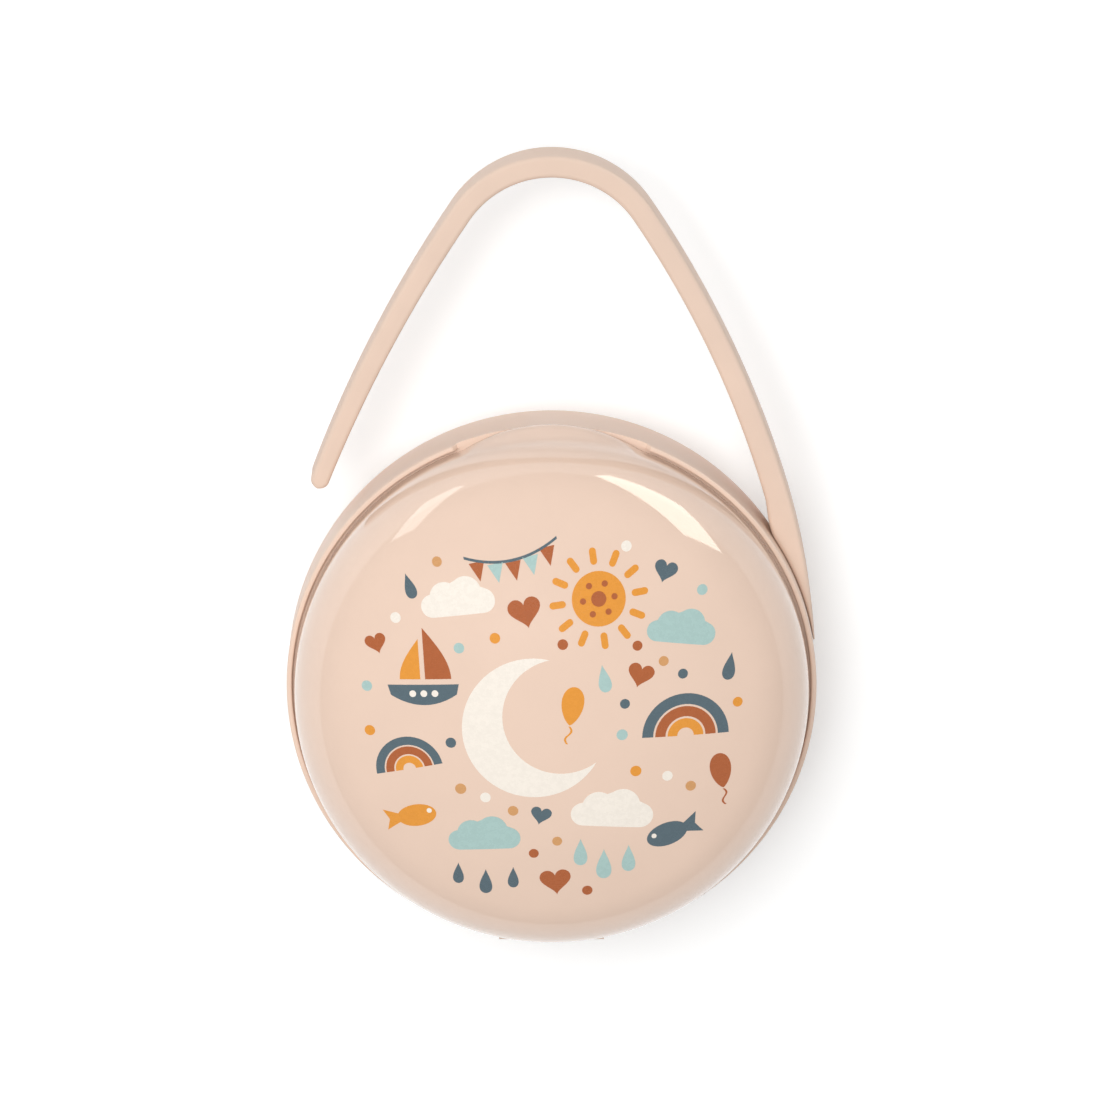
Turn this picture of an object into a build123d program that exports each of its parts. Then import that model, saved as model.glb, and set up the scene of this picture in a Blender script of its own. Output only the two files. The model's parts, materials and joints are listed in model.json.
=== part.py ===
from build123d import *
import math
import os

# Round clamshell pacifier case with a soft hooked strap, lying on its back. Millimetres.
# +Z points out of the lid, +Y towards the arch of the strap, +X to the strap's root.
# The origin is the centre of the flat foot under the rear shell.

# Rear shell
shell_radius = 39.0
shell_depth = 25.0
shell_shoulder = 14.0
shell_shoulder_height = 15.8
shell_wall = 2.2
foot_radius = 15.0
lip_wall = 0.8
lip_height = 1.2
lip_rounding = 0.3

# Front lid
lid_height = 23.0
lid_straight = 4.0
lid_shoulder = 14.0
lid_wall = 1.8
lid_side_gap = 0.4
lid_seat_gap = 0.25
tongue_side_gap = 0.4
tongue_wall = 1.4
tongue_depth = 2.4
tongue_rise = 3.0

# Thumb tab on the lid, at the top
tab_half_width = 12.9
tab_overhang = 0.4
tab_thickness = 1.7
tab_rounding = 0.8
tab_side_clearance = 0.6

# Snap bead on the tongue, at the top
bead_radius = 0.5
bead_lift = 0.75
bead_half_angle = 12.0
bead_clearance = 0.25

# Hinge at the bottom edge
hinge_inset = 1.6
hinge_lift = 0.2
knuckle_radius = 1.5
lid_knuckle_length = 7.0
shell_knuckle_length = 4.0
knuckle_gap = 0.3
wall_relief = 0.6
ledge_drop = 2.6
ledge_inset = 0.2
pin_radius = 0.6
pin_fixed_clearance = 0.02
pin_running_clearance = 0.05
pin_end_inset = 0.4
lip_end_clearance = 4.9

# Soft strap
strap_depth = 8.5
strap_setback = 7.0
strap_rounding = 0.7
crown_rise = 21.9
crown_radius = 16.0
crown_half_angle = 56.0
crown_thickness = 3.2
root_thickness = 3.6
tip_thickness = 2.7
tip_angle = 138.4
mouth_gap = 5.1
root_sweep = 98.0
root_sweep_angle = 16.7
root_start_angle = 9.0
root_fill_angle = 38.0
root_gap = 0.05
flex_gap = 0.3

# Studs that hold the strap's root in the shell's wall
stud_radius = 1.5
stud_clearance = 0.1
stud_angles = (17.0, 31.0)
stud_head_radius = 2.6
stud_head_thickness = 1.2
stud_head_gap = 0.15
stud_bite = 0.5

# Places worked out from the sizes above
seam = shell_depth
shell_straight = shell_depth - shell_shoulder_height
lid_radius = shell_radius - lip_wall - lid_side_gap
shell_bore = shell_radius - shell_wall
lid_bore = lid_radius - lid_wall
tongue_radius = shell_bore - tongue_side_gap
lid_edge = seam + lid_seat_gap
tongue_foot = lid_edge - tongue_depth
bead_level = tongue_foot + bead_lift
hinge_y = hinge_inset - shell_radius
hinge_z = seam + hinge_lift
hinge_bore = knuckle_radius + wall_relief
lid_knuckle_half = lid_knuckle_length / 2
shell_knuckle_start = lid_knuckle_half + knuckle_gap
shell_knuckle_end = shell_knuckle_start + shell_knuckle_length
hinge_half = shell_knuckle_end + knuckle_gap
strap_level = seam - strap_setback
root_radius = shell_radius + root_gap
crown_y = shell_radius + crown_rise
flex_socket = root_thickness / 2 + flex_gap
far = 4 * shell_radius


def polar(radius, degrees, centre=(0.0, 0.0)):
    """Point at a radius and an angle round a centre."""
    turn = math.radians(degrees)
    return (centre[0] + radius * math.cos(turn), centre[1] + radius * math.sin(turn))


def bowl(radius, straight, shoulder, flat_radius, height):
    """Round solid on z = 0: straight side, shoulder arc, then a wide arc up to a flat or a crown."""
    reach = radius - shoulder - flat_radius
    rise = straight - height
    wide = (shoulder**2 - reach**2 - rise**2) / (2 * (rise + shoulder))
    wide_centre = (flat_radius, height - wide)
    shoulder_centre = (radius - shoulder, straight)
    lean = math.degrees(
        math.atan2(shoulder_centre[1] - wide_centre[1], shoulder_centre[0] - wide_centre[0])
    )
    meet = polar(wide, lean, wide_centre)
    edges = [
        Line((0, 0), (radius, 0)),
        Line((radius, 0), (radius, straight)),
        ThreePointArc((radius, straight), polar(shoulder, lean / 2, shoulder_centre), meet),
        ThreePointArc(meet, polar(wide, (lean + 90) / 2, wide_centre), (flat_radius, height)),
        Line((0, height), (0, 0)),
    ]
    if flat_radius > 0:
        edges.append(Line((flat_radius, height), (0, height)))
    return revolve(Plane.XZ * make_face(edges), Axis.Z)


def ring(outer, inner, bottom, top):
    """Plain ring round the Z axis."""
    height = top - bottom
    body = Cylinder(outer, height) - Cylinder(inner, height)
    return Pos(0, 0, (bottom + top) / 2) * body


def slab(x_half, y_low, y_high, z_low, z_high):
    """Box centred on x = 0."""
    centre = Pos(0, (y_low + y_high) / 2, (z_low + z_high) / 2)
    return centre * Box(2 * x_half, y_high - y_low, z_high - z_low)


def hinge_bar(radius, start, end):
    """Cylinder on the hinge's axis between two x places."""
    turn = Rot(0, 90, 0)
    return Pos((start + end) / 2, hinge_y, hinge_z) * turn * Cylinder(radius, end - start)


def stud_bar(degrees, radius, start, end):
    """Cylinder square to the shell's side, between two distances from the Z axis."""
    along = Pos((start + end) / 2, 0, strap_level) * Rot(0, 90, 0)
    return Rot(0, 0, degrees) * along * Cylinder(radius, end - start)


def snap_bead(radius):
    """Round bead along the top of the tongue."""
    section = Plane.XZ * Pos(tongue_radius, bead_level) * Circle(radius)
    bead = revolve(section, Axis.Z, 2 * bead_half_angle)
    return Rot(0, 0, 90 - bead_half_angle) * bead


def lip_gap(half_width, heading):
    """Slice that takes the rim lip away over a width, with its ends pointing at the Z axis."""
    half_turn = math.degrees(math.asin(half_width / (shell_radius - lip_wall)))
    section = Plane.XZ * Pos(shell_radius, seam + lip_height) * Rectangle(2 * shell_wall, 2 * lip_height)
    return Rot(0, 0, heading - half_turn) * revolve(section, Axis.Z, 2 * half_turn)


def rear_shell():
    """Dish with a rim lip, two hinge knuckles, a snap groove and two holes for the strap's studs."""
    outside = bowl(shell_radius, shell_straight, shell_shoulder, foot_radius, shell_depth)
    inside = bowl(
        shell_bore, shell_straight, shell_shoulder - shell_wall, foot_radius, shell_depth - shell_wall
    )
    shell = Pos(0, 0, seam) * Rot(180, 0, 0) * (outside - inside)
    lip = ring(shell_radius, shell_radius - lip_wall, seam, seam + lip_height)
    shell += fillet(lip.edges().filter_by(GeomType.CIRCLE).group_by(Axis.Z)[-1], lip_rounding)
    shell -= lip_gap(tab_half_width + tab_side_clearance, 90)
    shell -= lip_gap(hinge_half + lip_end_clearance, -90)
    for side in (-1, 1):
        ends = sorted((side * shell_knuckle_start, side * shell_knuckle_end))
        shell += hinge_bar(knuckle_radius, *ends)
    shell -= hinge_bar(hinge_bore, -shell_knuckle_start, shell_knuckle_start)
    ledge = (hinge_y - far, hinge_y - ledge_inset, hinge_z - ledge_drop, hinge_z + far)
    shell -= slab(shell_knuckle_start, *ledge)
    shell -= hinge_bar(pin_radius + pin_fixed_clearance, -hinge_half, hinge_half)
    shell -= snap_bead(bead_radius + bead_clearance)
    for degrees in stud_angles:
        hole = stud_radius + stud_clearance
        shell -= stud_bar(degrees, hole, shell_bore - shell_wall, shell_radius + shell_wall)
    return shell


def thumb_tab():
    """Shallow crescent of the lid that reaches over the rim."""
    reach = shell_radius + tab_overhang
    chord_y = math.sqrt(lid_radius**2 - tab_half_width**2)
    sagitta = reach - chord_y
    curve = (tab_half_width**2 + sagitta**2) / (2 * sagitta)
    disc = Pos(0, reach - curve, lid_edge + tab_thickness / 2) * Cylinder(curve, tab_thickness)
    disc = fillet(disc.edges().filter_by(GeomType.CIRCLE).group_by(Axis.Z)[-1], tab_rounding)
    return disc & slab(far, lid_bore * 0.8, far, 0, far)


def lid_tongue():
    """Locating ring inside the lid, open at the hinge."""
    tongue = ring(tongue_radius, tongue_radius - tongue_wall, tongue_foot, lid_edge + tongue_rise)
    tongue -= slab(hinge_half + lip_end_clearance, -far, 0, 0, far)
    return tongue


def front_lid():
    """Domed cover with its thumb tab, tongue, snap bead and middle hinge knuckle."""
    outside = bowl(lid_radius, lid_straight, lid_shoulder, 0, lid_height)
    inside = bowl(lid_bore, lid_straight, lid_shoulder - lid_wall, 0, lid_height - lid_wall)
    lid = Pos(0, 0, seam) * (outside - inside)
    lid &= slab(far, -far, far, lid_edge, far)
    lid += thumb_tab() - Pos(0, 0, seam) * inside
    lid += lid_tongue()
    lid += snap_bead(bead_radius)
    for side in (-1, 1):
        ends = sorted((side * lid_knuckle_half, side * hinge_half))
        lid -= hinge_bar(hinge_bore, *ends)
    lid += hinge_bar(knuckle_radius, -lid_knuckle_half, lid_knuckle_half)
    lid -= hinge_bar(pin_radius + pin_running_clearance, -hinge_half, hinge_half)
    return lid


def hinge_pin():
    """Steel pin through the three knuckles, sunk a little at both ends."""
    half = shell_knuckle_end - pin_end_inset
    pin = hinge_bar(pin_radius, -half, half)
    return chamfer(pin.edges().filter_by(GeomType.CIRCLE), pin_radius / 5)


# Shape of the strap, seen from the front
sweep_centre = (shell_radius - root_sweep, 0.0)
flex_outer = polar(root_sweep, root_sweep_angle, sweep_centre)
flex_point = polar(root_sweep - root_thickness / 2, root_sweep_angle, sweep_centre)
flex_inner = polar(root_sweep - root_thickness, root_sweep_angle, sweep_centre)
crown_centre = (0.0, crown_y)
crown_outer = crown_radius + crown_thickness / 2
crown_inner = crown_radius - crown_thickness / 2
tip_centre = polar(shell_radius + mouth_gap + tip_thickness / 2, tip_angle)


def crown_end(radius, side):
    """Where the arch's round top ends, on the right (1) or on the left (-1)."""
    return polar(radius, 90 - side * crown_half_angle, crown_centre)


def leg_edge(radius, side, end):
    """One edge of a leg: it leaves the arch's top smoothly and bends on to its end."""
    start = crown_end(radius, side)
    lean = math.radians(crown_half_angle)
    return TangentArc(start, end, tangent=(side * math.cos(lean), -math.sin(lean)))


def leg_heading(side, end):
    """Direction in which the middle line of a leg reaches its end, in degrees."""
    start = crown_end(crown_radius, side)
    chord = math.degrees(math.atan2(end[1] - start[1], end[0] - start[0]))
    leaving = -crown_half_angle if side > 0 else crown_half_angle - 180
    return 2 * chord - leaving


def cap_points(centre, thickness, heading):
    """Left, end and right points of the round end of a leg that arrives with a heading."""
    half = thickness / 2
    return [polar(half, heading + turn, centre) for turn in (90, 0, -90)]


def strap_arm():
    """Free length of the strap: right leg, arch and left leg with a round tip."""
    right_outer, right_end, right_inner = cap_points(
        flex_point, root_thickness, leg_heading(1, flex_point)
    )
    left_inner, left_end, left_outer = cap_points(tip_centre, tip_thickness, leg_heading(-1, tip_centre))
    edges = []
    for radius, right, left in (
        (crown_outer, right_outer, left_outer),
        (crown_inner, right_inner, left_inner),
    ):
        top = (0, crown_y + radius)
        edges.append(ThreePointArc(crown_end(radius, 1), top, crown_end(radius, -1)))
        edges.append(leg_edge(radius, 1, right))
        edges.append(leg_edge(radius, -1, left))
    edges.append(ThreePointArc(right_outer, right_end, right_inner))
    edges.append(ThreePointArc(left_outer, left_end, left_inner))
    arm = extrude(make_face(edges), strap_depth)
    rounded = arm.edges().group_by(Axis.Z)[0] + arm.edges().group_by(Axis.Z)[-1]
    arm = fillet(rounded, strap_rounding)
    return Pos(0, 0, strap_level - strap_depth / 2) * arm


def root_outline():
    """Side pad of the strap, which hugs the shell and thickens up to the bending point."""
    offset = root_sweep - shell_radius
    start_turn = math.radians(root_start_angle)
    reach = math.sqrt(root_sweep**2 - (offset * math.sin(start_turn)) ** 2) - offset * math.cos(start_turn)
    thin_outer = polar(reach, root_start_angle)
    thin_inner = polar(root_radius, root_start_angle)
    fill = polar(root_radius, root_fill_angle)
    middle = (
        sweep_centre[0] + root_sweep * math.cos(math.radians(root_sweep_angle / 2)),
        root_sweep * math.sin(math.radians(root_sweep_angle / 2)),
    )
    edges = [
        ThreePointArc(thin_outer, middle, flex_outer),
        Line(flex_outer, flex_inner),
        TangentArc(flex_inner, fill, tangent=polar(1, root_sweep_angle - 90)),
        ThreePointArc(fill, polar(root_radius, (root_fill_angle + root_start_angle) / 2), thin_inner),
        Line(thin_inner, thin_outer),
    ]
    return make_face(edges)


def strap_root():
    """Fixed end of the strap, with two studs through the shell's wall."""
    root = Pos(0, 0, strap_level - strap_depth / 2) * extrude(root_outline(), strap_depth)
    section = Plane.XZ * Pos(root_sweep - strap_depth, strap_level) * RectangleRounded(
        2 * strap_depth, strap_depth, strap_rounding
    )
    root &= Pos(*sweep_centre, 0) * revolve(section, Axis.Z)
    root -= Pos(*flex_point, strap_level) * Cylinder(flex_socket, 2 * strap_depth)
    head_end = shell_bore - stud_head_gap
    for degrees in stud_angles:
        root += stud_bar(degrees, stud_radius, head_end - stud_head_thickness, root_radius + stud_bite)
        root += stud_bar(degrees, stud_head_radius, head_end - stud_head_thickness, head_end)
    return root


os.makedirs("parts", exist_ok=True)
for make in (rear_shell, front_lid, hinge_pin, strap_root, strap_arm):
    solid = make()
    solid.label = make.__name__
    export_step(solid, f"parts/{make.__name__}.step")
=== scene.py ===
import json
from math import acos, asin, atan2, cos, degrees, pi, radians, sin, sqrt

import bmesh
import bpy
from bpy.props import FloatProperty, FloatVectorProperty, PointerProperty
from mathutils import Matrix, Quaternion, Vector


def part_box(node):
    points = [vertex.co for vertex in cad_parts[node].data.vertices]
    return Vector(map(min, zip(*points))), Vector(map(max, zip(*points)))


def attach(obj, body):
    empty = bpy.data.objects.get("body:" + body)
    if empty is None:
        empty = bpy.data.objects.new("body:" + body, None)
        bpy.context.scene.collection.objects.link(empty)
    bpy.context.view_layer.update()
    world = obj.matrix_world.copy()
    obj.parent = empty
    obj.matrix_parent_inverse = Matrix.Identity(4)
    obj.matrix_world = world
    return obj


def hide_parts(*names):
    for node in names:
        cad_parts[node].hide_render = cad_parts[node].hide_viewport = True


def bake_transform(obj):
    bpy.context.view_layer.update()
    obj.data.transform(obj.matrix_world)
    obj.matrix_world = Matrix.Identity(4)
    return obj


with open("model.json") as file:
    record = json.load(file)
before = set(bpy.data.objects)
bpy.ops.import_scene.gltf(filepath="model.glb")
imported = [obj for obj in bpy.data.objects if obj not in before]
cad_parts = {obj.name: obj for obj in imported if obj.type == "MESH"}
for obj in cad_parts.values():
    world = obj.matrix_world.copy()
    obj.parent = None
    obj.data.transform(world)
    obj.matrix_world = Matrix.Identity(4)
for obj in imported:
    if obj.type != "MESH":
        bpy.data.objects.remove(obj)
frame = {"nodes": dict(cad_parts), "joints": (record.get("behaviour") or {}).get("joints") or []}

bl_info = {
    "name": "Pacifier case",
    "version": (1, 0, 0),
    "blender": (4, 5, 0),
    "location": "3D View > Sidebar > Case",
    "description": "Dresses the packed construction of a round pacifier case with a hooked strap",
    "category": "Add Mesh",
}

MM = 0.001
UP = Vector((0, 0, 1))
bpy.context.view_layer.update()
_, SHELL_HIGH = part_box("rear_shell")
LID_LOW, LID_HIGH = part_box("front_lid")
ARM_LOW, ARM_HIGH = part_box("strap_arm")
STRAP_LEVEL = (ARM_HIGH.z + ARM_LOW.z) / 2
JOINTS = {joint["name"]: joint for joint in frame["joints"]}
HINGE_AT = Vector(JOINTS["lid_hinge"]["pos_m"])
FLEX_AT = Vector(JOINTS["strap_flex"]["pos_m"])


def length(label, text, size):
    """A size for a property group, given in millimetres."""
    return FloatProperty(
        name=label, description=text, default=size * MM, unit="LENGTH", subtype="DISTANCE", precision=5
    )


def tilt(label, text, degrees):
    """An angle for a property group, given in degrees."""
    return FloatProperty(
        name=label, description=text, default=radians(degrees), unit="ROTATION", subtype="ANGLE"
    )


def colour(label, text, red, green, blue):
    """A colour for a property group, given as it looks on a screen, from 0 to 255."""
    return FloatVectorProperty(
        name=label,
        description=text,
        default=[linear(part) for part in (red, green, blue)],
        subtype="COLOR",
        min=0.0,
        max=1.0,
    )


def linear(part):
    """Screen value from 0 to 255 as the linear value that a shader takes."""
    share = part / 255
    return share / 12.92 if share <= 0.04045 else ((share + 0.055) / 1.055) ** 2.4


class ShellSizes(bpy.types.PropertyGroup):
    radius: length("Radius", "Outer radius of the rear shell", SHELL_HIGH.x / MM)
    depth: length("Depth", "Height of the parting plane above the foot", 25.0)
    straight: length("Straight side", "Height of the straight side below the parting plane", 9.2)
    shoulder: length("Shoulder", "Radius of the shoulder arc", 14.0)
    foot: length("Foot", "Radius of the flat foot", 15.0)
    wall: length("Wall", "Thickness of the wall", 2.2)
    lip_wall: length("Lip wall", "Thickness of the rim lip", 0.8)
    lip_height: length("Lip height", "Height of the rim lip above the parting plane", 1.2)
    tab_gap: length("Tab gap", "Half the width of the gap in the lip for the thumb tab", 13.5)
    hinge_gap: length("Hinge gap", "Half the width of the gap in the lip for the hinge", 13.0)
    groove: length("Groove radius", "Radius of the groove for the lid's snap bead", 0.75)
    stud_hole: length("Stud hole radius", "Radius of the holes for the strap's studs", 1.6)


class LidSizes(bpy.types.PropertyGroup):
    radius: length("Radius", "Outer radius of the lid", LID_HIGH.x / MM)
    edge: length("Edge", "Height of the lid's lower edge", 25.25)
    straight: length("Straight side", "Height of the straight side above the parting plane", 4.0)
    shoulder: length("Shoulder", "Radius of the shoulder arc", 14.0)
    crown: length("Crown", "Height of the dome's top under its print", LID_HIGH.z / MM - 0.06)
    wall: length("Wall", "Thickness of the wall", 1.8)
    tongue_radius: length("Tongue radius", "Outer radius of the locating tongue", 36.4)
    tongue_wall: length("Tongue wall", "Thickness of the locating tongue", 1.4)
    tongue_foot: length("Tongue foot", "Height of the tongue's lower edge", LID_LOW.z / MM)
    tab_half_width: length("Tab half width", "Half the width of the thumb tab", 12.9)
    tab_reach: length("Tab reach", "Distance of the thumb tab's edge from the middle", LID_HIGH.y / MM)
    tab_blend: length("Tab blend", "Height over which the tab runs out into the dome", 5.5)
    bead: length("Bead radius", "Radius of the snap bead on the tongue", 0.5)
    bead_lift: length("Bead lift", "Height of the bead above the tongue's lower edge", 0.75)
    bead_half_turn: tilt("Bead half turn", "Half the angle that the bead spans", 12.0)


class HingeSizes(bpy.types.PropertyGroup):
    knuckle: length("Knuckle radius", "Outer radius of the hinge's knuckles", 1.5)
    relief: length("Relief", "Clearance round the knuckles", 0.6)
    gap: length("Gap", "Clearance between the knuckles", 0.3)
    lid_half: length("Middle knuckle", "Half the length of the lid's knuckle", 3.5)
    reach: length("Reach", "Half the length of the whole hinge", 7.8)
    bore: length("Bore", "Radius of the hole for the pin", 0.64)
    ledge_drop: length("Ledge drop", "Depth of the cut below the axis, behind the lid's knuckle", 2.6)
    ledge_inset: length("Ledge inset", "Distance of that cut from the axis", 0.2)


class StrapSizes(bpy.types.PropertyGroup):
    depth: length("Depth", "Depth of the strap, front to back", (ARM_HIGH.z - ARM_LOW.z) / MM)
    rounding: length("Rounding", "Radius of the strap's long edges", 0.7)
    crown: length("Crown radius", "Radius of the arch's middle line", 16.0)
    crown_thickness: length("Crown thickness", "Thickness at the arch", 3.2)
    root_thickness: length("Root thickness", "Thickness at the bending point", 3.6)
    tip_thickness: length("Tip thickness", "Thickness at the free tip", 2.7)
    tip_radius: length("Tip distance", "Distance of the tip's centre from the case's middle", 45.45)
    sweep: length("Sweep radius", "Radius of the root's outer side", 98.0)
    stud: length("Stud radius", "Radius of the studs in the shell's wall", 1.5)
    stud_head: length("Stud head radius", "Radius of the studs' heads", 2.6)
    half_arch: tilt("Half arch", "Half the angle of the arch's round top", 56.0)
    tip_turn: tilt("Tip heading", "Heading of the tip from the case's middle", 138.4)
    thin_turn: tilt("Root start", "Heading at which the root starts", 9.0)
    fill_turn: tilt("Root end", "Heading at which the root leaves the shell", 38.0)
    low_stud: tilt("Low stud", "Heading of the lower stud", 17.0)
    high_stud: tilt("High stud", "Heading of the upper stud", 31.0)


class PrintSizes(bpy.types.PropertyGroup):
    ink: length("Ink thickness", "Height of one layer of ink above the lid", 0.025)
    cell: length("Cell", "Longest side of a piece of a printed shape", 1.6)


class CaseColours(bpy.types.PropertyGroup):
    lid: colour("Lid", "Polished blush plastic", 236, 209, 191)
    shell: colour("Shell", "Satin blush plastic", 238, 213, 196)
    strap: colour("Strap", "Soft matte blush plastic", 231, 206, 189)
    steel: colour("Steel", "Drawn steel of the pin", 176, 174, 170)
    slate: colour("Slate", "Slate blue ink", 88, 107, 117)
    mustard: colour("Mustard", "Mustard ink", 232, 155, 58)
    rust: colour("Rust", "Rust ink", 178, 98, 54)
    aqua: colour("Aqua", "Light aqua ink", 172, 203, 200)
    cream: colour("Cream", "Cream ink", 247, 240, 230)
    tan: colour("Tan", "Tan ink", 214, 160, 106)


class StageSettings(bpy.types.PropertyGroup):
    camera_distance: length("Camera distance", "Distance of the camera from its target", 1200.0)
    camera_height: length("Target up", "Where the camera looks, along the strap", 20.37)
    camera_side: length("Target across", "Where the camera looks, across the strap", -0.24)
    camera_tilt: tilt("Tilt", "Tilt towards the strap", 13.47)
    camera_lens: FloatProperty(
        name="Lens", description="Focal length", default=267.7, unit="CAMERA", min=1.0
    )
    floor: length("Floor", "Width of the floor", 3000.0)


def material(name, base, roughness, values):
    """New material with its plain values on the shader's own sockets, its tree and those sockets."""
    made = bpy.data.materials.new(name)
    made.use_nodes = True
    sockets = made.node_tree.nodes["Principled BSDF"].inputs
    for label, value in {"Base Color": (*base, 1.0), "Roughness": roughness, **values}.items():
        sockets[label].default_value = value
    made.diffuse_color = (*base, 1.0)
    return made, made.node_tree, sockets


def wired(tree, kind, inputs, output=0):
    """Output of a new node whose inputs are linked to a socket or set to a value."""
    made = tree.nodes.new(kind)
    for label, value in inputs.items():
        if isinstance(value, bpy.types.NodeSocket):
            tree.links.new(value, made.inputs[label])
        else:
            made.inputs[label].default_value = value
    return made.outputs[output]


def maths(tree, operation, *values):
    """A math node between sockets or numbers."""
    result = wired(tree, "ShaderNodeMath", dict(enumerate(values)))
    result.node.operation = operation
    return result


def coordinates(tree, stretch=(1.0, 1.0, 1.0)):
    """Object coordinates in metres, stretched along the axes."""
    places = wired(tree, "ShaderNodeTexCoord", {}, "Object")
    return wired(tree, "ShaderNodeMapping", {"Vector": places, "Scale": stretch})


def noise(tree, vector, size, detail=3.0, rough=0.5):
    """Noise whose features are about one size across, in metres."""
    inputs = {"Vector": vector, "Scale": 1.0 / size, "Detail": detail, "Roughness": rough}
    return wired(tree, "ShaderNodeTexNoise", inputs, "Fac")


def spread(tree, value, low, high):
    """The middle of a noise value's span, mapped onto a range."""
    inputs = {"Value": value, "From Min": 0.35, "From Max": 0.65, "To Min": low, "To Max": high}
    return wired(tree, "ShaderNodeMapRange", inputs, "Result")


def shades(tree, value, base, darker, lighter):
    """The base colour, a little darker or lighter with a noise value."""
    shade = wired(tree, "ShaderNodeValToRGB", {"Fac": value}, "Color")
    low, high = shade.node.color_ramp.elements
    low.position, high.position = 0.3, 0.7
    low.color = (*[part * darker for part in base], 1.0)
    high.color = (*[min(1.0, part * lighter) for part in base], 1.0)
    return shade


def toned(tree, sockets, value, base, tones, roughness):
    """Lets a noise value change the colour, by two factors, and the roughness, between two values."""
    tree.links.new(shades(tree, value, base, *tones), sockets["Base Color"])
    tree.links.new(spread(tree, value, *roughness), sockets["Roughness"])


def bump(tree, height, strength, distance, under=None):
    """Bump of a height value, over another normal if there is one."""
    inputs = {"Height": height, "Strength": strength, "Distance": distance}
    if under is not None:
        inputs["Normal"] = under
    return wired(tree, "ShaderNodeBump", inputs)


def polished_plastic(base):
    """Glossy moulding: a faint waviness, hairline scratches and a clear, slightly smeared gloss."""
    coat = {"IOR": 1.49, "Coat Weight": 0.35, "Coat Roughness": 0.03}
    made, tree, sockets = material("polished_blush", base, 0.08, coat)
    place = coordinates(tree)
    toned(tree, sockets, noise(tree, place, 9.0 * MM, 4.0, 0.6), base, (0.985, 1.01), (0.05, 0.1))
    wave = bump(tree, noise(tree, place, 3.5 * MM, 1.0), 0.12, 0.02 * MM)
    hairline = noise(tree, coordinates(tree, (1.0, 14.0, 1.0)), 1.2 * MM, 2.0)
    tree.links.new(bump(tree, hairline, 0.05, 0.004 * MM, wave), sockets["Normal"])
    return made


def satin_plastic(name, base, roughness, grain, depth):
    """Satin or matte moulding with the fine grain of an eroded mould."""
    made, tree, sockets = material(name, base, sum(roughness) / 2, {"IOR": 1.47})
    place = coordinates(tree)
    toned(tree, sockets, noise(tree, place, 7.0 * MM, 4.0, 0.55), base, (0.975, 1.015), roughness)
    pits = bump(tree, noise(tree, place, grain, 2.0, 0.6), 0.35, depth)
    wave = bump(tree, noise(tree, place, 5.0 * MM, 1.0), 0.1, 0.03 * MM, pits)
    tree.links.new(wave, sockets["Normal"])
    return made


def drawn_steel(base):
    """Pin wire with draw marks along its length."""
    made, tree, sockets = material("drawn_steel", base, 0.3, {"Metallic": 1.0})
    marks = noise(tree, coordinates(tree, (1.0, 30.0, 30.0)), 3.0 * MM)
    toned(tree, sockets, marks, base, (0.9, 1.05), (0.22, 0.4))
    tree.links.new(bump(tree, marks, 0.2, 0.01 * MM), sockets["Normal"])
    return made


def printed_ink(name, base):
    """Pad-printed ink: a little mottled, under a gloss like the lid's."""
    coat = {"IOR": 1.49, "Coat Weight": 0.3, "Coat Roughness": 0.05}
    made, tree, sockets = material("ink_" + name, base, 0.25, coat)
    place = coordinates(tree)
    toned(tree, sockets, noise(tree, place, 0.9 * MM, 5.0, 0.65), base, (0.955, 1.03), (0.2, 0.34))
    speck = noise(tree, place, 0.25 * MM, 2.0)
    tree.links.new(bump(tree, speck, 0.1, 0.006 * MM), sockets["Normal"])
    return made


def new_object(name, mesh, finish=None):
    """Object for a mesh, in the scene and at the origin."""
    mesh.name = name
    made = bpy.data.objects.new(name, mesh)
    bpy.context.scene.collection.objects.link(made)
    if finish is not None:
        made.data.materials.clear()
        made.data.materials.append(finish)
    return made


def body_object(name, body, finish=None):
    """Object made of a working body, which is then freed."""
    mesh = bpy.data.meshes.new(name)
    body.to_mesh(mesh)
    body.free()
    return new_object(name, mesh, finish)


def discard(obj):
    """Removes an object and its mesh."""
    mesh = obj.data
    bpy.data.objects.remove(obj)
    bpy.data.meshes.remove(mesh)


def smooth(mesh, degrees):
    """Smooth shading with sharp edges over an angle."""
    mesh.polygons.foreach_set("use_smooth", [True] * len(mesh.polygons))
    mesh.set_sharp_from_angle(angle=radians(degrees))


def baked(holder):
    """The mesh of an object with its modifiers applied, which are then removed."""
    bpy.context.view_layer.update()
    graph = bpy.context.evaluated_depsgraph_get()
    result = bpy.data.meshes.new_from_object(holder.evaluated_get(graph))
    holder.modifiers.clear()
    return result


def combined(obj, tools, operation):
    """Takes closed tools away from a mesh, or adds them to it."""
    for tool in tools:
        step = obj.modifiers.new("step", "BOOLEAN")
        step.operation = operation
        step.solver = "EXACT"
        step.object = tool
        old = obj.data
        obj.data = baked(obj)
        bpy.data.meshes.remove(old)
        discard(tool)


def on_circle(radius, degrees, centre=(0.0, 0.0)):
    """Point at a radius and an angle round a centre."""
    turn = radians(degrees)
    return (centre[0] + radius * cos(turn), centre[1] + radius * sin(turn))


def shares(steps):
    """Evenly spaced shares from 0 to 1."""
    return [step / steps for step in range(steps + 1)]


def arc(radius, start, end, steps, centre=(0.0, 0.0)):
    """Points round a centre from one angle to another, in degrees, with both ends."""
    return [on_circle(radius, start + (end - start) * share, centre) for share in shares(steps)]


def circle(radius, sides, centre=(0.0, 0.0)):
    """Outline of a disc."""
    return arc(radius, 0, 360, sides, centre)[:-1]


def eased(share):
    """Smooth step from 0 to 1."""
    share = max(0.0, min(1.0, share))
    return share * share * (3 - 2 * share)


def shortest(turn):
    """A turn in radians as the same turn the short way round."""
    return (turn + pi) % (2 * pi) - pi


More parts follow.
